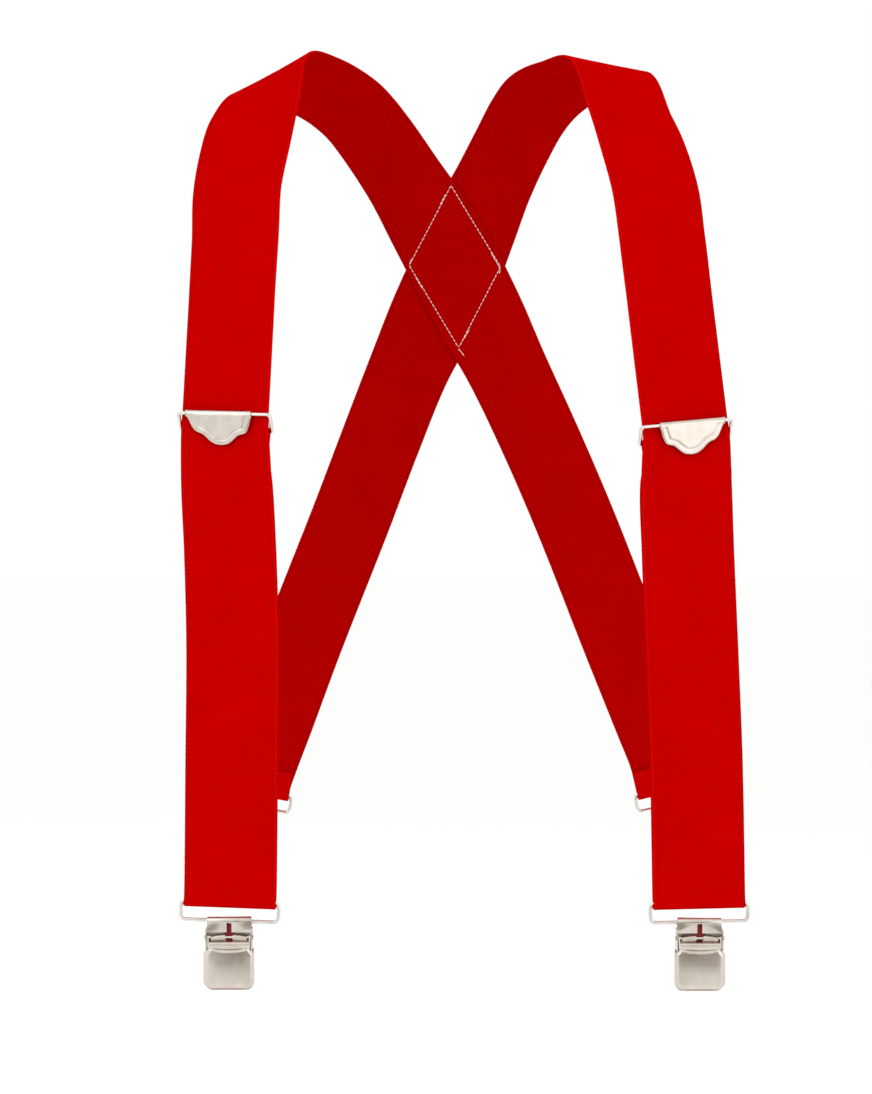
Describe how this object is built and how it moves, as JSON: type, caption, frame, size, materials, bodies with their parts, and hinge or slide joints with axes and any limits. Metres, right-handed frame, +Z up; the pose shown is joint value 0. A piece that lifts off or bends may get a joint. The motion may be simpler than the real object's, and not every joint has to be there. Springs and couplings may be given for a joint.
{
  "type": "suspenders",
  "caption": "X-back suspenders of wide elastic webbing with sliding lever adjusters and lever clips hung on wire loops.",
  "frame": {"origin": "midway between the two shoulder seats, on the wearer's middle plane", "axes": "+Z up, +Y backwards through the wearer, +X to the right of someone looking at the front"},
  "size_m": [0.3225, 0.2122, 0.5319],
  "materials": {
    "webbing": "woven elastic",
    "thread": "sewing thread",
    "wire": "polished nickel plate",
    "nickel": "satin nickel plate",
    "pad": "moulded"
  },
  "bodies": {
    "straps": {"left_shoulder_webbing": "webbing", "right_shoulder_webbing": "webbing", "cross_stitches": "thread"},
    "left_adjuster": {"left_front_adjuster_frame": "wire", "left_front_hem_stitches": "thread"},
    "left_adjuster_lever": {"left_front_adjuster_lever": "nickel"},
    "left_front_end": {"left_front_lower_webbing": "webbing"},
    "right_adjuster": {"right_front_adjuster_frame": "wire", "right_front_hem_stitches": "thread"},
    "right_adjuster_lever": {"right_front_adjuster_lever": "nickel"},
    "right_front_end": {"right_front_lower_webbing": "webbing"},
    "left_front_clip_loop": {"left_front_clip_loop": "wire"},
    "left_front_clip": {"left_front_clip_back_plate": "nickel", "left_front_clip_pin": "nickel", "left_front_clip_back_pad": "pad"},
    "left_front_clip_lever": {"left_front_clip_lever": "nickel"},
    "left_front_clip_jaw": {"left_front_clip_jaw": "nickel", "left_front_clip_jaw_pad": "pad"},
    "right_front_clip_loop": {"right_front_clip_loop": "wire"},
    "right_front_clip": {"right_front_clip_back_plate": "nickel", "right_front_clip_pin": "nickel", "right_front_clip_back_pad": "pad"},
    "right_front_clip_lever": {"right_front_clip_lever": "nickel"},
    "right_front_clip_jaw": {"right_front_clip_jaw": "nickel", "right_front_clip_jaw_pad": "pad"},
    "right_back_end": {"right_back_tail_webbing": "webbing", "right_back_hem_stitches": "thread"},
    "right_back_clip_loop": {"right_back_clip_loop": "wire"},
    "right_back_clip": {"right_back_clip_back_plate": "nickel", "right_back_clip_pin": "nickel", "right_back_clip_back_pad": "pad"},
    "right_back_clip_lever": {"right_back_clip_lever": "nickel"},
    "right_back_clip_jaw": {"right_back_clip_jaw": "nickel", "right_back_clip_jaw_pad": "pad"},
    "left_back_end": {"left_back_tail_webbing": "webbing", "left_back_hem_stitches": "thread"},
    "left_back_clip_loop": {"left_back_clip_loop": "wire"},
    "left_back_clip": {"left_back_clip_back_plate": "nickel", "left_back_clip_pin": "nickel", "left_back_clip_back_pad": "pad"},
    "left_back_clip_lever": {"left_back_clip_lever": "nickel"},
    "left_back_clip_jaw": {"left_back_clip_jaw": "nickel", "left_back_clip_jaw_pad": "pad"}
  },
  "joints": [
    {"name": "left_adjuster_slide", "type": "slide", "parent": "straps", "child": "left_adjuster", "axis": [0.047, 0.0742, 0.9961], "range_m": [0, 0.055]},
    {"name": "left_adjuster_lever_hinge", "type": "hinge", "parent": "left_adjuster", "child": "left_adjuster_lever", "pos_m": [-0.12704, -0.10092, -0.19804], "axis": [-0.9772, 0.2103, 0.0304], "range_deg": [0, 110]},
    {"name": "left_front_take_up", "type": "slide", "parent": "left_adjuster", "child": "left_front_end", "axis": [0.047, 0.0742, 0.9961], "range_m": [-0.0275, 0], "deforming": ["left_front_lower_webbing"]},
    {"name": "right_adjuster_slide", "type": "slide", "parent": "straps", "child": "right_adjuster", "axis": [-0.1132, 0.074, 0.9908], "range_m": [0, 0.055]},
    {"name": "right_adjuster_lever_hinge", "type": "hinge", "parent": "right_adjuster", "child": "right_adjuster_lever", "pos_m": [0.12305, -0.10132, -0.2032], "axis": [-0.9711, -0.2193, -0.0946], "range_deg": [0, 110]},
    {"name": "right_front_take_up", "type": "slide", "parent": "right_adjuster", "child": "right_front_end", "axis": [-0.1132, 0.074, 0.9908], "range_m": [-0.0275, 0], "deforming": ["right_front_lower_webbing"]},
    {"name": "left_front_clip_loop_swing", "type": "hinge", "parent": "left_front_end", "child": "left_front_clip_loop", "pos_m": [-0.12387, -0.09745, -0.46205], "axis": [0.9993, 0, -0.0384], "range_deg": [-35, 35]},
    {"name": "left_front_clip_swing", "type": "hinge", "parent": "left_front_clip_loop", "child": "left_front_clip", "pos_m": [-0.12427, -0.09745, -0.47235], "axis": [1, 0, 0], "range_deg": [-35, 35]},
    {"name": "left_front_clip_lever_hinge", "type": "hinge", "parent": "left_front_clip", "child": "left_front_clip_lever", "pos_m": [-0.12427, -0.10005, -0.48085], "axis": [-1, 0, 0], "range_deg": [0, 95]},
    {"name": "left_front_clip_jaw_hinge", "type": "hinge", "parent": "left_front_clip", "child": "left_front_clip_jaw", "pos_m": [-0.12427, -0.09845, -0.48185], "axis": [-1, 0, 0], "range_deg": [0, 14]},
    {"name": "right_front_clip_loop_swing", "type": "hinge", "parent": "right_front_end", "child": "right_front_clip_loop", "pos_m": [0.12992, -0.09745, -0.46265], "axis": [0.9997, 0, 0.0244], "range_deg": [-35, 35]},
    {"name": "right_front_clip_swing", "type": "hinge", "parent": "right_front_clip_loop", "child": "right_front_clip", "pos_m": [0.13017, -0.09745, -0.47295], "axis": [1, 0, 0], "range_deg": [-35, 35]},
    {"name": "right_front_clip_lever_hinge", "type": "hinge", "parent": "right_front_clip", "child": "right_front_clip_lever", "pos_m": [0.13017, -0.10005, -0.48145], "axis": [-1, 0, 0], "range_deg": [0, 95]},
    {"name": "right_front_clip_jaw_hinge", "type": "hinge", "parent": "right_front_clip", "child": "right_front_clip_jaw", "pos_m": [0.13017, -0.09845, -0.48245], "axis": [-1, 0, 0], "range_deg": [0, 14]},
    {"name": "right_back_stretch", "type": "slide", "parent": "straps", "child": "right_back_end", "axis": [0, 0, -1], "range_m": [0, 0.08], "stiffness_N_per_m": 200, "springref_m": -0.006, "deforming": ["right_back_tail_webbing"]},
    {"name": "right_back_clip_loop_swing", "type": "hinge", "parent": "right_back_end", "child": "right_back_clip_loop", "pos_m": [0.13725, 0.09445, -0.41924], "axis": [0.9744, 0, 0.225], "range_deg": [-35, 35]},
    {"name": "right_back_clip_swing", "type": "hinge", "parent": "right_back_clip_loop", "child": "right_back_clip", "pos_m": [0.13956, 0.09445, -0.42927], "axis": [0.9744, 0, 0.225], "range_deg": [-35, 35]},
    {"name": "right_back_clip_lever_hinge", "type": "hinge", "parent": "right_back_clip", "child": "right_back_clip_lever", "pos_m": [0.14147, 0.09705, -0.43755], "axis": [0.9744, 0, 0.225], "range_deg": [0, 95]},
    {"name": "right_back_clip_jaw_hinge", "type": "hinge", "parent": "right_back_clip", "child": "right_back_clip_jaw", "pos_m": [0.1417, 0.09545, -0.43853], "axis": [0.9744, 0, 0.225], "range_deg": [0, 14]},
    {"name": "left_back_stretch", "type": "slide", "parent": "straps", "child": "left_back_end", "axis": [0, 0, -1], "range_m": [0, 0.08], "stiffness_N_per_m": 200, "springref_m": -0.006, "deforming": ["left_back_tail_webbing"]},
    {"name": "left_back_clip_loop_swing", "type": "hinge", "parent": "left_back_end", "child": "left_back_clip_loop", "pos_m": [-0.12842, 0.09445, -0.4212], "axis": [0.9848, 0, -0.1736], "range_deg": [-35, 35]},
    {"name": "left_back_clip_swing", "type": "hinge", "parent": "left_back_clip_loop", "child": "left_back_clip", "pos_m": [-0.13021, 0.09445, -0.43134], "axis": [0.9848, 0, -0.1736], "range_deg": [-35, 35]},
    {"name": "left_back_clip_lever_hinge", "type": "hinge", "parent": "left_back_clip", "child": "left_back_clip_lever", "pos_m": [-0.13168, 0.09705, -0.43972], "axis": [0.9848, 0, -0.1736], "range_deg": [0, 95]},
    {"name": "left_back_clip_jaw_hinge", "type": "hinge", "parent": "left_back_clip", "child": "left_back_clip_jaw", "pos_m": [-0.13186, 0.09545, -0.4407], "axis": [0.9848, 0, -0.1736], "range_deg": [0, 14]}
  ],
  "couplings": [
    {"joint": "left_front_take_up", "follows": "left_adjuster_slide", "ratio": -0.5},
    {"joint": "right_front_take_up", "follows": "right_adjuster_slide", "ratio": -0.5},
    {"joint": "left_front_clip_jaw_hinge", "follows": "left_front_clip_lever_hinge", "ratio": 0.14737},
    {"joint": "right_front_clip_jaw_hinge", "follows": "right_front_clip_lever_hinge", "ratio": 0.14737},
    {"joint": "right_back_clip_jaw_hinge", "follows": "right_back_clip_lever_hinge", "ratio": 0.14737},
    {"joint": "left_back_clip_jaw_hinge", "follows": "left_back_clip_lever_hinge", "ratio": 0.14737}
  ]
}
